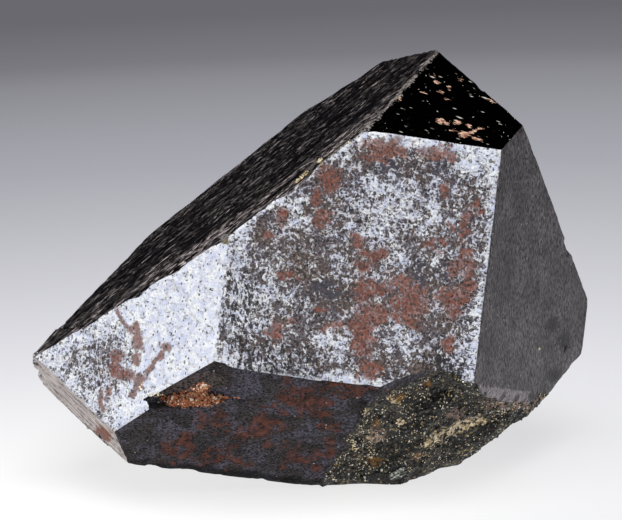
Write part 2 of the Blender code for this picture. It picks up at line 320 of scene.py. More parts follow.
PITTED = (
    (-2.9, -2.6, 1.1, 2.3), (-1.4, -4.4, 2.2, 0.8, -6), (-3.2, -1.2, 0.6, 1.2), (5.8, -4.4, 1.2, 0.7),
)
pitted = painted(PITTED, 0.4) * on["front"]
pit = smooth(noise(points, 0.22, 6) + 0.5 * noise(points, 0.14, 7), 0.6, 1.0)
pit *= on["front"] * (0.25 + 0.75 * pitted) + 0.3 * (on["left_front"] | on["back"] | on["back_left"])
front_gap = np.minimum(to_edge("top", "front"), to_edge("top", "left_front"))
streaks = noise(along, (0.5, 2.0, 0.8), 8) + 0.7 * noise(along, (0.28, 0.9, 0.5), 9)
ribs = noise(np.stack([points @ RIB_ALONG, points @ RIB_ACROSS, along[:, 1]], axis=1), (3.0, 0.16, 1.0), 13)

off_floor = smooth(points[:, 2], 0.0, 0.25)  # nothing moves where the crystal stands
move = (swell - wear) * (1 - crumbly) + lumps * crumbly - PITS * pit
filled = FILLED * np.clip(under["top"], 0, 0.3) * smooth(front_gap, 2.0, 4.0)
move += on["top"] * (THREADS * streaks + filled) + on["left_end"] * RIBS * ribs
move -= on["peak"] * FLECK_PITS * smooth(noise(along, (0.3, 0.3, 0.12), 14), 0.3, 0.8)
# The step of the ledge runs out towards the right: there the two levels of the face are one.
level = np.clip(under["under"], 0, 0.5) * smooth(seen[:, 0], -4.2, -3.1)
level *= facing & (seen[:, 0] < 0.5) & (np.abs(seen[:, 1] + 5.8) < 1.3) & (on["under"] | (nearest > 0.3))
moved = out * move[:, None] + directions["under"] * level[:, None]
worn = points + moved * off_floor[:, None] + upward * chipped[:, None]
worn[:, 2] = np.maximum(worn[:, 2], 0)
crystal_mesh.vertices.foreach_set("co", (worn * MM).ravel())
crystal_mesh.polygons.foreach_set("use_smooth", np.ones(len(corners), bool))
crystal_mesh.set_sharp_from_angle(angle=SHARP)
crystal_mesh.update()

# Where rust stains lie, and where the pale film, partly a painted reflection of the lights, is thick, thin
# or cracked, or shows steel-blue or olive.
FRONT_RUST = (
    (3.3, 4.9, 0.9, 0.45, -8), (2.8, 4.4, 0.55, 0.3), (5.4, 4.7, 0.85, 0.35, -8), (6.0, 4.4, 0.3, 0.2),
    (0.8, 3.6, 0.5, 0.6, -15), (0.2, 2.8, 0.25, 0.25), (0.45, 1.7, 0.3, 0.4), (-1.2, 1.8, 0.3, 0.3, -30),
    (-1.7, 1.1, 0.25, 0.15), (2.05, 0.85, 0.3, 0.2), (2.8, 0.3, 0.75, 0.4, -10), (2.2, -0.3, 0.45, 0.25),
    (2.3, -1.2, 0.5, 0.5), (3.0, -1.2, 0.6, 0.3), (4.0, -1.0, 0.65, 0.4), (4.3, -1.8, 0.85, 0.65),
    (4.1, -2.5, 0.6, 0.4), (2.75, -2.4, 0.7, 0.5), (2.1, -2.9, 0.65, 0.4), (2.2, -3.6, 0.5, 0.7),
    (2.5, -4.7, 0.5, 0.5), (0.4, -2.1, 0.25, 0.12), (1.0, -3.0, 0.45, 0.2), (-1.5, -3.1, 0.4, 0.5, 20),
    (-0.8, -2.8, 0.25, 0.2), (5.1, 0.7, 0.35, 0.25), (5.7, 0.65, 0.25, 0.25), (6.0, 1.4, 0.2, 0.25),
    (6.8, 1.4, 0.18, 0.75, -4), (6.7, 0.3, 0.35, 0.35), (6.35, -0.3, 0.45, 0.3), (6.95, -0.8, 0.3, 0.7),
    (6.1, -1.6, 0.7, 0.45), (6.8, -1.7, 0.35, 0.25), (6.2, -2.3, 0.4, 0.25), (5.8, 3.0, 0.2, 0.4, 30),
    (7.3, 2.4, 0.18, 0.25), (-1.0, -0.7, 0.5, 0.22), (5.95, -3.6, 0.3, 0.45),
)
LEFT_RUST = (
    (-8.4, -2.3, 0.09, 0.3, 30), (-8.2, -2.7, 0.11, 0.3, 25), (-7.9, -3.05, 0.13, 0.3, 25),
    (-7.55, -3.0, 0.2, 0.3), (-7.5, -3.55, 0.28, 0.55, 5), (-7.6, -4.3, 0.25, 0.25),
    (-8.4, -4.15, 0.3, 0.25), (-8.5, -4.7, 0.27, 0.35), (-8.05, -5.0, 0.45, 0.25), (-6.3, -3.8, 0.26, 0.22),
    (-6.55, -4.1, 0.1, 0.3, -45), (-6.85, -4.45, 0.13, 0.35, -35), (-7.0, -4.75, 0.17, 0.25, -20),
    (-7.35, -5.1, 0.32, 0.2, 30), (-7.55, -5.5, 0.25, 0.25, 40), (-7.7, -5.8, 0.13, 0.18),
    (-9.1, -5.8, 0.11, 0.3, -15), (-8.75, -5.75, 0.1, 0.25, 10), (-9.15, -6.15, 0.1, 0.3, 10),
    (-9.05, -6.5, 0.1, 0.22), (-8.9, -6.1, 0.08, 0.2),
)
UNDER_RUST = (
    (-0.3, -6.0, 1.2, 0.7), (-1.1, -5.2, 0.4, 0.3), (1.35, -5.45, 0.45, 0.3), (0.65, -6.35, 0.5, 0.4),
    (-2.0, -6.3, 0.5, 0.2), (-1.9, -7.2, 0.9, 0.4, 15), (0.85, -7.0, 0.4, 0.3), (0.85, -7.8, 0.4, 0.5),
    (0.55, -8.5, 0.6, 0.35, 20), (-0.65, -8.6, 0.7, 0.4), (-6.2, -8.1, 0.5, 0.5), (-5.5, -7.9, 0.5, 0.4),
    (-5.5, -8.7, 0.5, 0.2), (-4.7, -8.7, 0.4, 0.3), (-4.0, -8.2, 0.55, 0.4), (-3.0, -7.6, 0.9, 0.4, 20),
    (-1.8, -7.95, 0.4, 0.3), (-3.0, -8.8, 0.75, 0.3), (-4.4, -7.0, 0.7, 0.4), (2.5, -5.6, 0.6, 0.3),
)
BRIGHT_FILM_AND_SHEEN = (
    (1.5, 4.8, 0.9, 0.4, 40), (3.9, 5.3, 2.4, 0.25, -6), (7.3, 4.3, 1.1, 0.8, -30), (2.5, 2.65, 0.65, 0.3),
    (3.0, 3.0, 2.0, 0.6), (3.9, 1.9, 2.4, 0.7), (2.65, 1.2, 1.0, 0.25), (-2.65, 1.3, 0.45, 0.55),
    (-3.1, 0.3, 0.3, 1.2), (-2.4, -1.4, 1.1, 0.9), (-1.35, 0.1, 0.4, 0.25), (-2.55, -2.8, 1.1, 0.5),
    (0.8, -3.6, 0.9, 0.5), (3.95, -0.1, 0.45, 0.4), (3.8, -3.45, 0.5, 0.95, 25), (6.9, -4.2, 0.75, 1.0),
    (0.95, -2.4, 0.3, 0.15), (3.0, -5.3, 2.4, 0.2, -6), (-1.8, -4.8, 2.0, 0.3, -6), (-0.95, 2.25, 0.55, 0.5),
    (-0.4, 1.45, 0.5, 0.3), (1.05, -0.55, 0.6, 0.4), (6.25, -1.05, 0.22, 0.4), (5.2, 0.25, 0.5, 0.25),
)
THIN_FILM_AND_SHEEN = (
    (0.9, 3.1, 1.1, 0.8), (2.2, 4.2, 1.2, 0.5), (4.3, 3.9, 1.4, 0.36), (0.95, 2.15, 0.7, 0.65),
    (-0.7, 0.1, 1.0, 0.8), (0.5, 0.75, 0.7, 0.5), (0.8, -1.5, 1.1, 0.7), (0.35, -2.65, 0.9, 0.4),
    (1.6, -1.85, 0.6, 0.45), (4.65, 0.0, 0.5, 0.5), (5.4, -0.9, 0.9, 0.75), (1.5, -4.5, 0.7, 0.35),
    (3.05, -4.4, 0.8, 0.5), (4.65, -4.5, 1.0, 0.5), (-1.85, 0.9, 0.5, 0.5), (5.1, -2.8, 0.9, 0.6),
    (-0.3, -3.2, 0.35, 0.5), (1.6, -2.9, 0.5, 0.3),
)
STEEL = ((0.8, -1.4, 0.9, 0.6), (4.3, 4.0, 1.6, 0.5), (5.2, -0.6, 0.9, 0.7), (1.0, 1.9, 0.5, 0.5))
OLIVE = (
    (-0.8, 0.1, 1.2, 0.9), (4.65, -4.6, 1.1, 0.6), (-1.8, 1.0, 0.6, 0.5), (2.8, -4.7, 1.0, 0.5),
    (-0.4, -0.6, 1.1, 0.4), (0.7, -3.2, 0.8, 0.5), (-7.6, -4.2, 0.4, 0.5), (-8.2, -5.4, 0.6, 0.35),
)
CRACKED = (
    (7.2, -2.5, 0.7, 1.5), (6.4, -4.6, 1.3, 0.6), (4.0, -5.1, 1.1, 0.4), (7.3, 3.4, 0.6, 0.8),
)
GREY_LEFT = ((-9.0, -4.4, 1.6, 1.0, 30), (-8.2, -5.2, 0.7, 0.5), (-10.1, -4.4, 0.9, 0.5, 30))

# How much pale film there is, its white partly a painted reflection of the lights: 0.3 gives an open net,
# and 1 a closed film. It is thick along the front face's edges, for widths in mm, but for a dark line beside
# the left one.
rim = np.zeros(len(points))
for other, width in (("right", 0.32), ("peak", 0.46), ("top", 0.16), ("under", 0.32)):
    ragged_gap = to_edge("front", other) + 0.2 * noise(points, 0.5, 25)
    rim = np.maximum(rim, 1 - smooth(ragged_gap, width * 0.5, width * 1.6))
rim = np.maximum(rim, painted(((7.6, 4.3, 1.0, 1.2),), 0.5))
side_gap = to_edge("front", "left_front") + 0.05 * noise(points, 0.6, 26)
front_film_and_sheen = 0.31 + 0.27 * painted(BRIGHT_FILM_AND_SHEEN, 0.5) - 0.22 * painted(THIN_FILM_AND_SHEEN, 0.5) + 0.40 * rim
front_film_and_sheen += 0.07 * noise(points, 1.4, 27) + 0.09 * noise(points, 0.45, 47)
front_film_and_sheen += 0.22 * (1 - smooth(side_gap, 0.5, 1.1))
front_film_and_sheen -= 0.35 * (1 - smooth(np.abs(side_gap - 0.24), 0.02, 0.09))
left_film_and_sheen = 0.75 + 0.40 * smooth(seen[:, 0], -8.8, -7.2) + 0.05 * noise(points, 1.2, 28)
left_film_and_sheen += 0.25 * (1 - smooth(to_edge("left_front", "front"), 0.12, 0.4)) - 0.42 * painted(GREY_LEFT, 0.4)
on_left = on["left_front"] & ~on["front"]

edge_gaps = {pair: np.maximum(np.abs(under[pair[0]]), np.abs(under[pair[1]])) for pair in
             (("top", "front"), ("top", "peak"), ("top", "left_front"), ("top", "worn_edge"),
              ("peak", "worn_edge"))}
# Pale tan matter fills the seams along some edges, most of all beside the middle of the top's front edge.
seam = np.zeros(len(points))
for pair, gap in edge_gaps.items():
    width = 0.028 if "worn_edge" in pair else 0.045
    share = 1 - smooth(gap + 0.03 * noise(points, 0.3, 29), width * 0.5, width * 1.5)
    if pair == ("top", "front"):
        share *= 0.35 + 0.65 * smooth(seen[:, 0], -2.0, -1.0) * (1 - smooth(seen[:, 0], 1.6, 2.2))
    if pair == ("top", "left_front"):
        share *= 0.3
    seam = np.maximum(seam, share)
seam = np.maximum(seam, painted(((-3.7, 0.95, 0.24, 0.22),), 0.1))

# Where the crust is tan, amber, black or reddish, and where ochre, flecks, dark smudges and a painted shadow
# in the ledge's hollow lie on the faces.
# The ledge's granular lip and the small cleaved facet by the contact have outlines.
CRUST_TAN = (
    (4.9, -8.0, 0.35, 0.15, 25), (5.4, -7.75, 0.5, 0.22, 25), (6.1, -7.4, 0.6, 0.25, 25),
    (6.8, -7.05, 0.5, 0.3, 20), (7.3, -7.0, 0.4, 0.2), (2.35, -6.5, 0.18, 0.14),
    (3.6, -6.05, 0.25, 0.12, 20), (2.7, -7.7, 0.4, 0.22), (3.85, -7.0, 0.25, 0.16),
)
CRUST_AMBER = (
    (2.85, -7.1, 0.17, 0.17), (2.8, -8.7, 0.35, 0.2), (4.62, -8.55, 0.22, 0.18), (3.8, -5.95, 0.3, 0.12),
    (5.1, -5.45, 0.2, 0.15),
)
CRUST_DARK = (
    (7.8, -7.15, 0.35, 0.2, 20), (8.8, -6.75, 0.5, 0.3, 20), (2.3, -6.2, 0.2, 0.1), (5.3, -6.2, 1.3, 0.6),
    (3.3, -8.8, 0.1, 0.1), (3.75, -8.45, 0.45, 0.10, 35), (4.5, -8.22, 0.5, 0.09, 5),
)
OCHRE_BAND = (
    (-7.45, -5.55, 0.12, 0.4, -39), (-5.1, -6.05, 1.25, 0.28), (-4.8, -5.6, 0.35, 0.25),
    (-3.7, -5.9, 0.5, 0.06), (-9.1, -7.6, 0.42, 0.32, -35),
)
FLECKS = (
    (5.75, 6.05, 0.30, 0.13, -18), (6.4, 5.97, 0.22, 0.15, -10), (6.65, 5.45, 0.26, 0.14, -19),
    (6.2, 5.6, 0.28, 0.05, -19), (7.1, 5.62, 0.42, 0.07, 8), (7.2, 5.3, 0.24, 0.08),
    (6.85, 5.85, 0.16, 0.05, -19), (6.45, 7.85, 0.16, 0.10), (5.7, 7.3, 0.2, 0.07, -19),
    (4.9, 7.25, 0.16, 0.06), (5.5, 7.7, 0.15, 0.06), (6.0, 7.5, 0.10, 0.12), (5.3, 8.0, 0.2, 0.04),
    (4.45, 8.15, 0.10, 0.12, -50), (5.9, 7.0, 0.14, 0.05, -19), (3.85, 7.0, 0.16, 0.07, -19),
    (7.9, 6.9, 0.25, 0.04, -19),
)
LIP = [(-7.0, -5.9), (-6.3, -5.3), (-5.3, -4.95), (-4.2, -4.85), (-3.6, -5.2), (-4.2, -5.65), (-5.7, -5.8)]
# The flecks on the peak lie along one direction in it, which looks 19 degrees below level.
tilt = radians(-19)
level_run = np.array((1, 0, 0)) * cos(tilt) + upward * sin(tilt)
facing_peak = np.array(to_camera) @ directions["peak"]
FLECKS_RUN = level_run - np.array(to_camera) * (level_run @ directions["peak"]) / facing_peak
CLEAVED = [(7.25, -5.45), (7.5, -6.0), (8.2, -6.1), (9.4, -6.3), (9.65, -5.85), (9.6, -5.7)]
BLUSH = (
    (8.5, -6.35, 1.0, 0.25, -8), (9.6, -6.2, 0.6, 0.3, 20), (2.9, -7.65, 0.5, 0.35), (6.3, -6.6, 0.5, 0.3),
)
SMUDGES_AND_HOLLOW_SHADE = (
    (-3.8, -9.25, 4.6, 0.16, -6.7), (11.0, -3.55, 0.35, 0.5), (10.5, -2.8, 0.3, 0.4), (10.6, -5.0, 0.4, 0.4),
    (8.3, -5.9, 0.09, 0.24, -30), (8.95, -6.0, 0.09, 0.2, -40), (9.55, -5.9, 0.09, 0.22, -30),
    # The last is a painted shadow in the hollow under the ledge.
    (-6.7, -6.28, 0.55, 0.14),
)


def keep(name, values):
    """Stores one value for each point of the crystal's surface."""
    layer = crystal_mesh.attributes.new(name, "FLOAT", "POINT")
    layer.data.foreach_set("value", np.asarray(values, np.float32))


keep("film_and_sheen", np.where(on_left, left_film_and_sheen, front_film_and_sheen))
keep("rust", np.where(on_left, 1.2 * painted(LEFT_RUST, 0.12), painted(FRONT_RUST)))
keep("pit", pit)
keep("steel", painted(STEEL, 0.3))
keep("olive", painted(OLIVE, 0.3))
keep("cracked", painted(CRACKED, 0.2) * on["front"])
keep("clouds", painted(UNDER_RUST, 0.4))
keep("seam", seam)
# How many painted glints the top's threads carry: all at its front edge, half far behind it.
keep("fibre_glints", 1 - 0.5 * smooth(front_gap, 1.2, 5.5))
keep("fleck", painted(FLECKS, 0.08) * on["peak"])
keep("granular", within(LIP, 0.1) * on["under"])
keep("tan", painted(CRUST_TAN, 0.12))
keep("amber", painted(CRUST_AMBER, 0.05))
# Dark marks: dark crust, blotches, cracks and a rough rim, and a painted shadow in the ledge's hollow.
keep("dark", painted(CRUST_DARK + SMUDGES_AND_HOLLOW_SHADE, 0.06))
keep("blush", painted(BLUSH, 0.15))
keep("pitted", pitted)
keep("ochre", painted(OCHRE_BAND, 0.1))
keep("cleaved", within(CLEAVED, 0.03))


def linear(hex_colour):
    """An sRGB hex colour as linear red, green, blue and alpha."""
    parts = [int(hex_colour[i:i + 2], 16) / 255 for i in (1, 3, 5)]
    return (*(p / 12.92 if p <= 0.04045 else ((p + 0.055) / 1.055) ** 2.4 for p in parts), 1)


def add(tree, kind, *values, out=None, **settings):
    """Adds a node with its settings: a shader node, unless its kind says otherwise. Values and links fill
    the inputs that it shows, in order. None leaves an input as it is, and a text is a colour. The result is
    the output of this name, or the first shown."""
    node = tree.nodes.new(kind if "Node" in kind else "ShaderNode" + kind)
    for name, value in settings.items():
        setattr(node, name, value)
    for socket, value in zip([socket for socket in node.inputs if socket.enabled], values):
        if isinstance(value, bpy.types.NodeSocket):
            tree.links.new(value, socket)
        elif value is not None:
            socket.default_value = linear(value) if isinstance(value, str) else value
    return node.outputs[out] if out else next((socket for socket in node.outputs if socket.enabled), None)


def new_material(name):
    """A material with only its Principled shader, and the object's own coordinates in millimetres."""
    material = bpy.data.materials.new(name)
    material.use_nodes = True
    tree = material.node_tree
    place = add(tree, "TexCoord", out="Object")
    place = add(tree, "VectorMath", place, 1 / MM, operation="SCALE")
    return material, tree, tree.nodes["Principled BSDF"], place


def layered(tree, ground, *layers):
    """A ground under layers, the last one on top. The ground has its colour, or a value from 0 to 1 and the
    two colours that it mixes. A layer has its cover, from 0 to 1, and then the same."""
    colour = None
    for cover, *shade in ((None, *ground), *layers):
        shade = add(tree, "Mix", *shade, data_type="RGBA") if len(shade) > 1 else shade[0]
        colour = shade if cover is None else add(tree, "Mix", cover, colour, shade, data_type="RGBA")
    return colour


def finished(material, tree, shader, colour, height, relief, gloss=0.5, **uniform):
    """The material with this colour and strength of gloss, a relief of this many mm, and other constants."""
    tree.links.new(colour, shader.inputs["Base Color"])
    tree.links.new(add(tree, "Bump", 1.0, relief * MM, None, height), shader.inputs["Normal"])
    for name, value in {"Specular IOR Level": gloss, **uniform}.items():
        shader.inputs[name].default_value = value
    return material


def grit(tree, place, size, detail=2.0, seed=0.0):
    """Noise with features of this size in mm, spread evenly from 0 to 1."""
    uneven = add(tree, "TexNoise", place, seed, 1 / size, detail, 0.6, noise_dimensions="4D")
    return add(tree, "MapRange", uneven, 0.34, 0.66, 0.0, 1.0, interpolation_type="SMOOTHSTEP")


def ragged(tree, mark, uneven, strength, low, high, most=1.0):
    """A painted mark's cover, from 0 to most as the mark rises from low to high, its outline made ragged by
    grit. The mark is the name of an attribute of the surface, or a value."""
    if isinstance(mark, str):
        mark = add(tree, "Attribute", attribute_name=mark, out="Fac")
    mark = add(tree, "Math", uneven, strength, mark, operation="MULTIPLY_ADD")
    return add(tree, "MapRange", mark, low + strength / 2, high + strength / 2, 0.0, most,
               interpolation_type="SMOOTHSTEP")


def dots(tree, place, cell, radius, share, seed=0.0):
    """Small round dots, in this share of the cells of this size in mm: 1 inside a dot and 0 outside."""
    moved = add(tree, "VectorMath", place, (seed, seed, seed), operation="ADD")
    distance = add(tree, "TexVoronoi", moved, 1 / cell)
    chosen = add(tree, "SeparateColor", distance.node.outputs["Color"])
    chosen = add(tree, "Math", chosen, share, operation="LESS_THAN")
    dot = add(tree, "MapRange", distance, radius * 0.6 / cell, radius * 1.4 / cell, 1.0, 0.0)
    return add(tree, "Math", dot, chosen, operation="MULTIPLY")


def tarnished_sheen_uraninite():
    """Tarnished uraninite: a thin bluish-white film on a dark oxide, broken into a fine net, with black
    pinholes and brick-red stains. The film's near-white is partly a painted reflection of the lights. The
    film gives a soft gloss, and the stains none."""
    material, tree, shader, place = new_material("tarnished_sheen_uraninite")
    finest, fine, middling = (grit(tree, place, size, seed=seed) for size, seed in
                              ((0.06, 2), (0.10, 0), (0.26, 1)))
    # White threads, about 0.06 mm wide, join up across the thin places: the ridges of a noise.
    ridge = add(tree, "TexNoise", place, 14.0, 1 / 0.34, 2.0, 0.6, noise_dimensions="4D")
    ridge = add(tree, "Math", ridge, 0.5, 0.055, operation="COMPARE")
    amount = add(tree, "Attribute", attribute_name="film_and_sheen", out="Fac")
    for uneven, strength in ((fine, 0.40), (middling, 0.46), (finest, 0.19), (ridge, 0.34)):
        amount = add(tree, "Math", uneven, strength, amount, operation="MULTIPLY_ADD")
    film_and_sheen = add(tree, "MapRange", amount, 0.90, 1.50, 0.0, 1.0, interpolation_type="SMOOTHSTEP")
    # A stain takes the film away, and shades the oxide a little beyond its own outline.
    shaded = ragged(tree, "rust", middling, 0.7, 0.0, 1.05)
    stain = ragged(tree, shaded, grit(tree, place, 0.10, seed=3), 0.6, 0.05, 0.9, 0.94)
    left = add(tree, "Math", stain, shaded, operation="MAXIMUM")
    left = add(tree, "Math", left, -0.88, 1.0, operation="MULTIPLY_ADD")
    film_and_sheen = add(tree, "Math", film_and_sheen, left, operation="MULTIPLY")

    # Hairline cracks run mostly level: ridges of a noise that is drawn out sideways.
    level = add(tree, "Mapping", place, None, None, (0.5, 0.5, 1.3))
    crack = add(tree, "TexNoise", level, 13.0, 1 / 0.45, 3.0, 0.65, noise_dimensions="4D")
    crack = add(tree, "Math", crack, 0.5, 0.012, operation="COMPARE")
    crack = add(tree, "Math", crack, ragged(tree, "cracked", middling, 0.6, 0.1, 0.3), operation="MULTIPLY")
    # Pits drawn out and leaning, about 0.15 mm across, and round pinholes of 0.08 mm and less.
    leaning = add(tree, "Mapping", place, None, (0.0, radians(35), 0.0), (1.0, 1.0, 0.45))
    hole = ragged(tree, "pitted", grit(tree, leaning, 0.12, seed=16), 1.6, 1.0, 1.35)
    for other in (crack, dots(tree, place, 0.24, 0.042, 0.65), dots(tree, leaning, 0.17, 0.030, 0.5, 5.0),
                  ragged(tree, "pit", fine, 0.4, 0.4, 0.7)):
        hole = add(tree, "Math", hole, other, operation="MAXIMUM")

    brown = (fine, "#2c2624", "#796a60")
    colour = layered(
        tree, (grit(tree, place, 0.11, seed=5), "#151316", "#6f676d"),
        (ragged(tree, "steel", middling, 0.4, 0.15, 0.8, 0.75), "#373b48"),
        (ragged(tree, grit(tree, place, 1.3, 3.0, 17), middling, 0.3, 0.3, 0.8, 0.7), *brown),
        (ragged(tree, "olive", middling, 0.4, 0.1, 0.9, 0.75), *brown),
        (shaded, fine, "#382c2a", "#866d62"),
        (stain, grit(tree, place, 0.12, seed=9), "#4b3733", "#985844"),
        # The film's near-white: partly a painted reflection of the lights.
        (film_and_sheen, grit(tree, place, 0.3, 3.0, 11), "#d9dff5", "#fbfdff"),
        (add(tree, "Math", hole, 0.92, operation="MULTIPLY"), "#131317"),
        (ragged(tree, "seam", fine, 0.5, 0.35, 0.65), middling, "#423e33", "#9a8e72"),
    )
    glossy = add(tree, "Math", film_and_sheen, hole, operation="SUBTRACT", use_clamp=True)
    tree.links.new(add(tree, "MapRange", glossy, 0.0, 1.0, 0.65, 0.42), shader.inputs["Roughness"])
    height = add(tree, "Math", film_and_sheen, 0.5, fine, operation="MULTIPLY_ADD")
    height = add(tree, "Math", height, hole, operation="SUBTRACT")
    return finished(material, tree, shader, colour, height, 0.025, Metallic=0.1)


def bare_uraninite(name, dark, light, gloss, clouded):
    """Bare uraninite: dark slate-grey oxide with a dull submetallic lustre and a fine upright grain. Where it
    is clouded, its grain is even, and thin brown and lilac-grey clouds dull it."""
    material, tree, shader, place = new_material(name)
    upright = place if clouded else add(tree, "Mapping", place, None, None, (1, 1, 0.5))
    fibre, fine = grit(tree, upright, 0.09), grit(tree, place, 0.11, seed=1)
    layers = [(add(tree, "Math", grit(tree, place, 1.2, 3.0, 2), 0.5, operation="MULTIPLY"), dark)]
    if clouded:
        lilac = ragged(tree, grit(tree, place, 0.9, 4.0, 6), fine, 0.5, 0.3, 1.0, 0.85)
        cloud = ragged(tree, "clouds", grit(tree, place, 0.5, 4.0, 3), 0.8, 0.1, 1.2)
        cloud = ragged(tree, cloud, fine, 0.5, 0.0, 1.1, 0.8)
        layers += [
            (lilac, fine, "#24222a", "#62606f"),
            (cloud, grit(tree, place, 0.3, seed=12), "#321b13", "#703f2e"),
            (ragged(tree, "granular", fine, 0.5, 0.3, 0.6), fine, "#0b0a0a", "#5f5553"),
            (ragged(tree, "ochre", fine, 0.6, 0.35, 0.6), fibre, "#6f3f2c", "#d68f6a"),
        ]
    else:
        layers.append((ragged(tree, "cleaved", fine, 0.3, 0.4, 0.6), fibre, "#5b5557", "#9c9598"))
    colour = layered(
        tree, (fibre, dark, light), *layers,
        # The dark marks hold a painted shadow in the ledge's hollow.
        (ragged(tree, "dark", fine, 0.6, 0.3, 0.8, 0.8), "#0c0b0c"),
        (dots(tree, place, 0.26, 0.032, 0.10), "#c9c4bc"),
        (dots(tree, upright, 0.17, 0.045, 0.6, 5.0), "#0c0b0d"),
    )
    return finished(material, tree, shader, colour, fibre, 0.015, gloss, Roughness=0.45, Metallic=0.05)


def pitchy_uraninite(name, long_way, size, length, dark, dull, light, painted_glint_from, gloss, specks=()):
    """Pitch-black uraninite: the lustrous unaltered oxide, so dark that only what is caught in it shows.
    Threads of this size, so many times longer one way, catch the light: their glints are painted, as light
    dashes along them. There may be specks in it."""
    material, tree, shader, place = new_material(name)
    long_way = Vector(long_way).normalized()
    run = add(tree, "VectorMath", place, tuple(long_way), operation="DOT_PRODUCT")
    run = add(tree, "VectorMath", tuple(long_way * (1 / length - 1)), run, operation="SCALE")
    drawn = add(tree, "VectorMath", place, run, operation="ADD")
    thread = grit(tree, drawn, size)
    # Painted glints: dashes between the dull and light colours along the threads.
    painted_glint = ragged(tree, "fibre_glints", thread, 1.4, painted_glint_from, painted_glint_from + 0.4)
    painted_glint = add(tree, "Math", painted_glint, grit(tree, drawn, size * 5, seed=4), operation="MULTIPLY")
    colour = layered(
        tree, (dark,), (painted_glint, grit(tree, place, 0.25, seed=8), dull, light),
        *((dots(tree, drawn, cell, radius, share, cell), "#d9d2ca") for cell, radius, share in specks),
        (ragged(tree, "fleck", grit(tree, drawn, 0.09, seed=7), 0.9, 0.6, 0.75),
         grit(tree, place, 0.22, seed=9), "#8d5c50", "#efcab0"),
        (ragged(tree, "seam", grit(tree, place, 0.1, seed=5), 0.6, 0.35, 0.75),
         grit(tree, place, 0.14, seed=6), "#2a2827", "#a09994"),
    )
    return finished(material, tree, shader, colour, thread, 0.03, gloss, Roughness=0.42)


def weathered_uraninite():
    """Weathered uraninite: the narrow left face has a dull pale skin with fine ribs and cracks along it."""
    material, tree, shader, place = new_material("weathered_uraninite")
    ways = (RIB_ALONG / RIB_STRETCH, RIB_ACROSS, ATTITUDE[:, 1])
    own = add(tree, "CombineXYZ", *(
        add(tree, "VectorMath", place, tuple(way), operation="DOT_PRODUCT") for way in ways))
    rib, fine = grit(tree, own, 0.12), grit(tree, place, 0.12, seed=3)
    colour = layered(
        tree, (rib, "#8f8583", "#dbd0cb"),
        (add(tree, "Math", fine, 0.4, operation="MULTIPLY"), "#918c88"),
        (ragged(tree, grit(tree, own, 0.3, 3.0, 6), fine, 0.6, 0.28, 0.1), "#54494a"),
        (dots(tree, place, 0.3, 0.05, 0.3), "#4a3f3d"),
        (ragged(tree, "ochre", fine, 0.5, 0.35, 0.6), fine, "#3a2014", "#8f4a28"),
    )
    return finished(material, tree, shader, colour, rib, 0.02, Roughness=0.6, Metallic=0.1)


def contact_crust():
    """Contact crust: fine dark chlorite and oxide grains grown on the broken foot, with tan and amber ones.
    Each grain has its own shade. Painted black shade in the hollows between grains makes it look rough, and
    small cream dots are painted glints."""
    material, tree, shader, place = new_material("contact_crust")
    distance = add(tree, "TexVoronoi", place, 1 / 0.11)
    pick = add(tree, "SeparateColor", distance.node.outputs["Color"]).node.outputs
    fine = grit(tree, place, 0.12)
    colour = layered(
        tree, (pick[0], "#0a0908", "#4c473f"),
        (grit(tree, place, 0.8, seed=4), pick[0], "#0e0f11", "#404144"),
        (add(tree, "Math", pick[1], 0.91, operation="GREATER_THAN"), "#85744f"),
        # Painted shade: black patches in the hollows between the grains.
        (ragged(tree, grit(tree, place, 0.45, 3.0, 8), fine, 0.4, 0.35, 0.15, 0.85), "#050505"),
        (ragged(tree, "tan", grit(tree, place, 0.18, seed=6), 0.9, 0.4, 0.8), pick[0], "#7a6640", "#ffe9bf"),
        (ragged(tree, "blush", fine, 0.8, 0.3, 0.9, 0.8), pick[2], "#3d2f2b", "#ab8f82"),
        # Painted glints: small cream dots.
        (dots(tree, place, 0.13, 0.028, 0.35, 3.0), "#f6e8c8"),
        (ragged(tree, "amber", fine, 0.5, 0.35, 0.7), pick[2], "#3f2a12", "#8f6838"),
        (ragged(tree, "dark", fine, 0.5, 0.3, 0.7, 0.9), "#060606"),
    )
    grown = add(tree, "Math", 1.0, distance, operation="SUBTRACT")
    return finished(material, tree, shader, colour, grown, 0.06, 0.2, Roughness=0.5)


tarnish_and_sheen = tarnished_sheen_uraninite()
# The underside's copy has darker ground colours than the right face's: painted shade, as it faces down.
bare_side = bare_uraninite("bare_uraninite", "#1a171a", "#7f797b", 0.2, False)
shaded_bare_under = bare_uraninite("clouded_shaded_uraninite", "#0e0d0f", "#4a4547", 0.06, True)
# After the dark colour come the dull and light colours of the painted glints, and where the glints begin.
pitchy_top = pitchy_uraninite("fibrous_uraninite", ATTITUDE[:, 1], 0.12, 4, "#090709", "#2b2425", "#d2c6c4",
                              0.8, 0.05)
pitchy_peak = pitchy_uraninite("flecked_uraninite", FLECKS_RUN, 0.08, 3, "#010101", "#1c1918", "#6b625c",
                               1.6, 0.0, ((0.16, 0.026, 0.14), (0.34, 0.045, 0.20)))
weathered = weathered_uraninite()
crust = contact_crust()
FINISHES = {
    "front": tarnish_and_sheen, "left_front": tarnish_and_sheen, "back": tarnish_and_sheen, "back_left": tarnish_and_sheen,
    "right": bare_side, "under": shaded_bare_under, "right_end": bare_side, "back_right": bare_side,
    "foot": shaded_bare_under, "back_under": shaded_bare_under, "top": pitchy_top, "peak": pitchy_peak,
    "worn_edge": pitchy_top, "back_peak": pitchy_top, "left_end": weathered,
}
finishes = list(dict.fromkeys([*FINISHES.values(), crust]))
for finish in finishes:
    crystal_mesh.materials.append(finish)
finish_of = np.array([finishes.index(FINISHES[name]) for name in names] + [finishes.index(crust)], np.int32)
finish_index = finish_of[face_of]
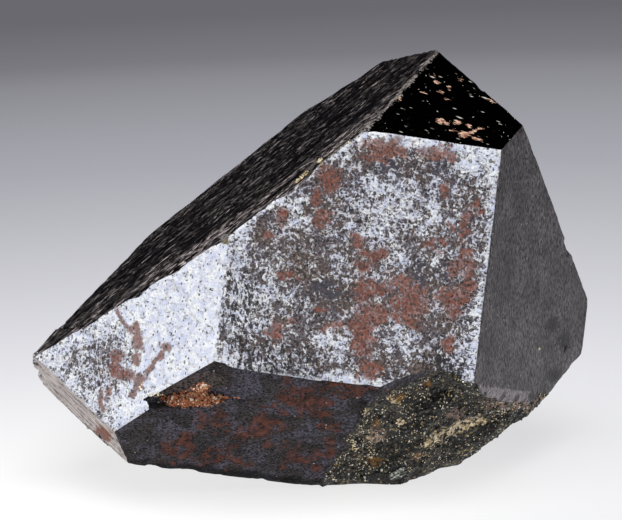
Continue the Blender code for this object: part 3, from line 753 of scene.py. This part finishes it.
# Where an edge is chipped, the chip has the finish of the face beside it.
CHIPS_PART_AT = (-8.5, 5.0)  # mm to the right, as seen
bared = bare_break[corners].all(axis=1) & (face_of == BROKEN)
chips = np.searchsorted(CHIPS_PART_AT, seen[corners[bared], 0].mean(axis=1))
chip_finishes = [finishes.index(finish) for finish in (tarnish_and_sheen, shaded_bare_under, bare_side)]
finish_index[bared] = np.array(chip_finishes)[chips]
finish_index[contact[corners].sum(axis=1) > 1] = finishes.index(crust)
crystal_mesh.polygons.foreach_set("material_index", finish_index)
is_crust = finish_index == finishes.index(crust)

crystal = put("uraninite_surface", crystal_mesh)
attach(crystal, "root")
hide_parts("uraninite_crystal")

# ----------------------------------------
# The grains: small crystals of chlorite, pyrite, feldspar and curite, which grew on the contact, in the
# ledge's hollow and on two edges, and specks caught in the peak face. One node tree strews them over a copy
# of the part of the surface that they grow on.
# ----------------------------------------
def grain_tree():
    """Strews small many-sided grains over a surface. Sizes are radii, and flatness scales each axis."""
    tree = bpy.data.node_groups.new("strewn_grains", "GeometryNodeTree")
    for name, kind in (("Surface", "Geometry"), ("Density", "Float"), ("Smallest", "Float"),
                       ("Largest", "Float"), ("Flatness", "Vector"), ("Seed", "Int"), ("Finish", "Material")):
        tree.interface.new_socket(name, in_out="INPUT", socket_type="NodeSocket" + kind)
    tree.interface.new_socket("Grains", in_out="OUTPUT", socket_type="NodeSocketGeometry")
    given = add(tree, "NodeGroupInput").node.outputs
    spread = add(tree, "GeometryNodeDistributePointsOnFaces", given["Surface"], None, given["Density"],
                 given["Seed"])
    stone = add(tree, "GeometryNodeMeshIcoSphere", 1.0, 1)
    turn, size, shape = (
        add(tree, "FunctionNodeRandomValue", low, high, None, given["Seed"], data_type=kind)
        for low, high, kind in (((-0.5, -0.5, -3.1), (0.5, 0.5, 3.1), "FLOAT_VECTOR"),
                                (given["Smallest"], given["Largest"], "FLOAT"),
                                ((0.7, 0.7, 0.6), (1.3, 1.0, 1.0), "FLOAT_VECTOR")))
    shape = add(tree, "VectorMath", shape, given["Flatness"], operation="MULTIPLY")
    shape = add(tree, "VectorMath", shape, size, operation="SCALE")
    placed = add(tree, "GeometryNodeInstanceOnPoints", spread, None, stone, None, None,
                 spread.node.outputs["Rotation"], shape)
    placed = add(tree, "GeometryNodeRotateInstances", placed, None, turn)
    real = add(tree, "GeometryNodeRealizeInstances", placed)
    add(tree, "NodeGroupOutput", add(tree, "GeometryNodeSetMaterial", real, None, given["Finish"]))
    return tree


def mineral(name, colours, size, roughness, metallic):
    """One mineral of small grains, in a few shades that change from grain to grain."""
    material, tree, shader, place = new_material(name)
    distance = add(tree, "TexVoronoi", place, 1 / size)
    pick = add(tree, "SeparateColor", distance.node.outputs["Color"]).node.outputs
    # A share of the grains take the third and palest shade: for pyrite and curite it is a painted glint.
    pale_grains_and_glints = add(tree, "Math", pick[1], 0.6, operation="GREATER_THAN")
    colour = layered(tree, (pick[0], *colours[:2]), (pale_grains_and_glints, colours[2]))
    return finished(material, tree, shader, colour, distance, 0.005, Roughness=roughness, Metallic=metallic)


def strewn(name, on_triangles, finish, per_mm2, radii, flatness=(1, 1, 1), seed=1):
    """Grains on the chosen triangles of the crystal's surface, so many per mm2, with radii in mm between
    these two. They are one piece, which rides with the crystal."""
    ground = bpy.data.meshes.new(name + "_ground")
    used, ends = np.unique(corners[on_triangles], return_inverse=True)
    ground.from_pydata(worn[used] * MM, [], ends.reshape(-1, 3))
    base = put(name + "_ground", ground)
    modifier = base.modifiers.new("grains", "NODES")
    modifier.node_group = grains
    values = {"Density": per_mm2 / MM ** 2, "Smallest": radii[0] * MM, "Largest": radii[1] * MM,
              "Flatness": flatness, "Seed": seed, "Finish": finish}
    for socket in grains.interface.items_tree:
        if socket.name in values:
            modifier[socket.identifier] = values[socket.name]
    graph = bpy.context.evaluated_depsgraph_get()
    mesh = bpy.data.meshes.new_from_object(base.evaluated_get(graph))
    mesh.name = name
    base.modifiers.remove(modifier)
    bpy.data.objects.remove(base)
    piece = put(name, mesh)
    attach(piece, "root")


grains = grain_tree()
# Chlorite is soft and scaly, black-green, with a dull gloss. Pyrite glints pale brass, its palest shade a
# painted glint. Feldspar is cream and dull. Curite, an ochre crust of uranium and lead oxides, is orange and
# earthy, with a painted highlight as its palest shade.
chlorite = mineral("chlorite", ("#070707", "#292a26", "#504d42"), 0.14, 0.4, 0.0)
pyrite = mineral("pyrite", ("#ad9462", "#e3cfa0", "#fff3d8"), 0.1, 0.35, 0.3)
feldspar = mineral("feldspar", ("#b9b0a0", "#e0d9cc", "#f1ece2"), 0.16, 0.4, 0.0)
curite = mineral("curite", ("#ab5a3c", "#df9a70", "#fff0da"), 0.12, 0.5, 0.0)
# Where single bright grains sit: glints on the crystal, golden ones, and white ones on the crust.
GLINTS = (
    (7.62, 0.6, 0.15, 0.12), (4.73, -4.38, 0.10, 0.16, 20), (5.5, -4.45, 0.09, 0.12),
    (9.29, 3.17, 0.05, 0.05), (9.42, -0.48, 0.05, 0.05), (9.9, -3.86, 0.06, 0.09),
    (10.94, -0.13, 0.04, 0.04), (10.11, -0.78, 0.04, 0.04), (10.59, -1.87, 0.04, 0.04),
)
GOLD = (
    (-6.7, -5.85, 0.4, 0.10), (-0.4, 3.6, 0.4, 0.09, 40), (0.4, 4.3, 0.14, 0.08, 40),
    (1.85, -8.07, 0.13, 0.2, 25), (2.45, -6.9, 0.06, 0.06), (4.4, -7.75, 0.3, 0.1, 30),
)
WHITE = (
    (2.3, -9.0, 0.10, 0.09), (2.3, -9.38, 0.10, 0.1), (1.75, -8.82, 0.10, 0.06), (1.65, -9.3, 0.08, 0.08),
    (3.1, -9.05, 0.1, 0.06), (8.95, -7.2, 0.05, 0.1), (1.55, -8.7, 0.06, 0.06),
)
# The crust's own grains keep clear of the floor, of the crust's hidden left end, and of its black crack.
middle_x, middle_z = (sides[:, :, axis].mean(axis=1) for axis in (0, 2))
crack = painted(CRUST_DARK[5:], 0.06)[corners].mean(axis=1) > 0.4
grown_over = is_crust & (middle_z > 0.3) & (middle_x > -1) & ~crack
glinting = (noise(points, 0.7, 45) + 0.6 * noise(points, 0.3, 46) > 0.12)[corners].all(axis=1)
ochre_at = painted(OCHRE_BAND[:4], 0.08) > 0.45
tan_at = painted(CRUST_TAN[:5], 0.08) > 0.5
glints_at = painted(GLINTS + GOLD, 0.0) > 0.3
glints_at |= (edge_gaps["top", "front"] < 0.14) & (np.abs(seen[:, 0]) < 1.7) & (noise(points, 0.5, 44) > 0)
white_at = painted(WHITE, 0.0) > 0.3
strewn("chlorite_grains", grown_over, chlorite, 11, (0.05, 0.11), seed=3)
strewn("pyrite_grains", grown_over & glinting, pyrite, 30, (0.011, 0.05), seed=4)
strewn("feldspar_grains", grown_over, feldspar, 5, (0.014, 0.05), seed=5)
strewn("white_grains", white_at[corners].all(axis=1), feldspar, 60, (0.04, 0.08), seed=10)
strewn("tan_grains", tan_at[corners].all(axis=1) & is_crust, feldspar, 12, (0.025, 0.055), seed=6)
strewn("ochre_grains", ochre_at[corners].all(axis=1), curite, 60, (0.03, 0.075), seed=7)
strewn("ledge_glints", ochre_at[corners].all(axis=1), pyrite, 34, (0.02, 0.05), seed=11)
strewn("glints", glints_at[corners].all(axis=1), pyrite, 130, (0.03, 0.055), seed=8)
strewn("peak_specks", face_of == names.index("peak"), feldspar, 1.5, (0.010, 0.026), (1.6, 0.8, 0.6), seed=9)

# ----------------------------------------
# The mica flake: a torn flake of muscovite, a silvery grey-green mica, left lying against the contact near
# its foot. It is a stack of thin cleaved leaves, which lie a little askew on one another.
# ----------------------------------------
FLAKE_PLACE, FLAKE_RISE = (3.82, -9.2), radians(50)  # as seen
FLAKE_LIFT, LEAF_THICK = 0.04, 0.02  # mm
LEAVES = ((0.0, 0.0, 0.95, 0.12), (0.05, 0.10, 0.80, 0.10), (-0.05, -0.10, 0.85, 0.10),
          (0.12, 0.18, 0.60, 0.09), (0.02, -0.19, 0.55, 0.08))  # mm along, mm across, length, width

spot = np.argmin(np.hypot(*(seen - FLAKE_PLACE).T) + 100 * ~facing)
lift = Vector(out[spot])
run = Vector((1, 0, 0)) * cos(FLAKE_RISE) + Vector(upward) * sin(FLAKE_RISE)
run = (run - lift * run.dot(lift)).normalized()
side = lift.cross(run)
bm = bmesh.new()
for i, (forward, sideways, length, width) in enumerate(LEAVES):
    middle = Vector(worn[spot]) + run * forward + side * sideways + lift * (FLAKE_LIFT + LEAF_THICK * i)
    leaf = Matrix((run * length, side * width, lift * LEAF_THICK)).transposed().to_4x4()
    leaf.translation = middle
    bmesh.ops.create_cube(bm, size=1, matrix=Matrix.Scale(MM, 4) @ leaf)
flake_mesh = mesh_from(bm, "mica_flake")
flake_mesh.materials.append(mineral("muscovite", ("#33352f", "#777a72", "#b4b6ae"), 0.10, 0.3, 0.2))
flake = put("mica_flake", flake_mesh)
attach(flake, "root")

# ----------------------------------------
# The floor: a wide disc that glows with painted light, white under the crystal and grey away from it. Its
# painted glow and falloff of shade stand in for the studio light on it, and keep the crystal's shadow faint.
# ----------------------------------------
FLOOR_RADIUS = 1.2  # m
FLOOR_MIDDLE = (-10.0, -8.0, 0.0)  # mm
# The painted falloff of shade darkens sooner towards the left.
FLOOR_LEANING = (-0.3, 0.0, 0.0)  # it darkens sooner towards the left
FLOOR_DRAWN_IN = 3.0  # mm by which all its shades are drawn in
# The glow is painted light: the floor is no lamp.
FLOOR_GLOW = 0.75  # the share of its shade that it gives off
FLOOR_DARKENED = 0.75  # the share by which its own colour is darker than its shade
# The shades below are a painted falloff of light away from the crystal.
FLOOR_PAINTED_FALLOFF = (  # mm from the middle, and the shade there
    (0, "#ffffff"), (14, "#ffffff"), (25, "#f1f1f4"), (35, "#e3e3e8"), (51, "#ceced4"), (65, "#bbbbc2"),
    (77, "#ababb3"), (85, "#a3a3ab"), (93, "#9999a0"), (101, "#8d8d93"), (107, "#7c7c82"), (120, "#6c6c72"),
    (200, "#606066"),
)

bm = bmesh.new()
bmesh.ops.create_circle(bm, cap_ends=True, segments=128, radius=FLOOR_RADIUS)
floor_mesh = mesh_from(bm, "floor")
floor = put("floor", floor_mesh)
glowing_floor, tree, shader, place = new_material("glowing_floor_finish")
distance = add(tree, "VectorMath", place, FLOOR_MIDDLE, operation="DISTANCE")
leftward = add(tree, "VectorMath", place, FLOOR_LEANING, operation="DOT_PRODUCT")
distance = add(tree, "Math", distance, leftward, operation="ADD")
farthest = FLOOR_PAINTED_FALLOFF[-1][0]
share = add(tree, "Math", distance, 1 / farthest, FLOOR_DRAWN_IN / farthest, operation="MULTIPLY_ADD")
shade = add(tree, "ValToRGB", share)
stops = shade.node.color_ramp.elements
for i, (radius, tone) in enumerate(FLOOR_PAINTED_FALLOFF):
    stop = stops[i] if i < 2 else stops.new(1.0)
    stop.position = radius / farthest
    stop.color = linear(tone)
tree.links.new(layered(tree, (shade,), (FLOOR_DARKENED, "#000000")), shader.inputs["Base Color"])
tree.links.new(shade, shader.inputs["Emission Color"])
shader.inputs["Emission Strength"].default_value = FLOOR_GLOW
shader.inputs["Roughness"].default_value = 0.9
shader.inputs["Specular IOR Level"].default_value = 0.0
floor_mesh.materials.append(glowing_floor)

# ----------------------------------------
# The light: a softbox in front to the right, one to the left, and a soft one above and a little in front.
# Dim grey surroundings lighten the shadows.
# ----------------------------------------
LIGHTS = {  # the way to it, its distance and its side in m, and its watts
    "right_softbox": ((0.487, -0.838, 0.30), 0.42, 0.40, 0.55),
    "left_softbox": ((-0.95, -0.10, 0.30), 0.42, 0.36, 0.85),
    "top_softbox": ((0.0, -0.35, 0.94), 0.50, 0.45, 2.7),
}
for name, (way, away, side, watts) in LIGHTS.items():
    lamp = bpy.data.lights.new(name, "AREA")
    lamp.size = side
    lamp.energy = watts
    light = put(name, lamp)
    towards = Vector(way).normalized()
    light.location = towards * away
    light.rotation_euler = towards.to_track_quat("Z", "Y").to_euler()

world = bpy.data.worlds.new("studio")
bpy.context.scene.world = world
world.use_nodes = True
background = world.node_tree.nodes["Background"]
background.inputs["Color"].default_value = linear("#2a2a2e")
background.inputs["Strength"].default_value = 0.3
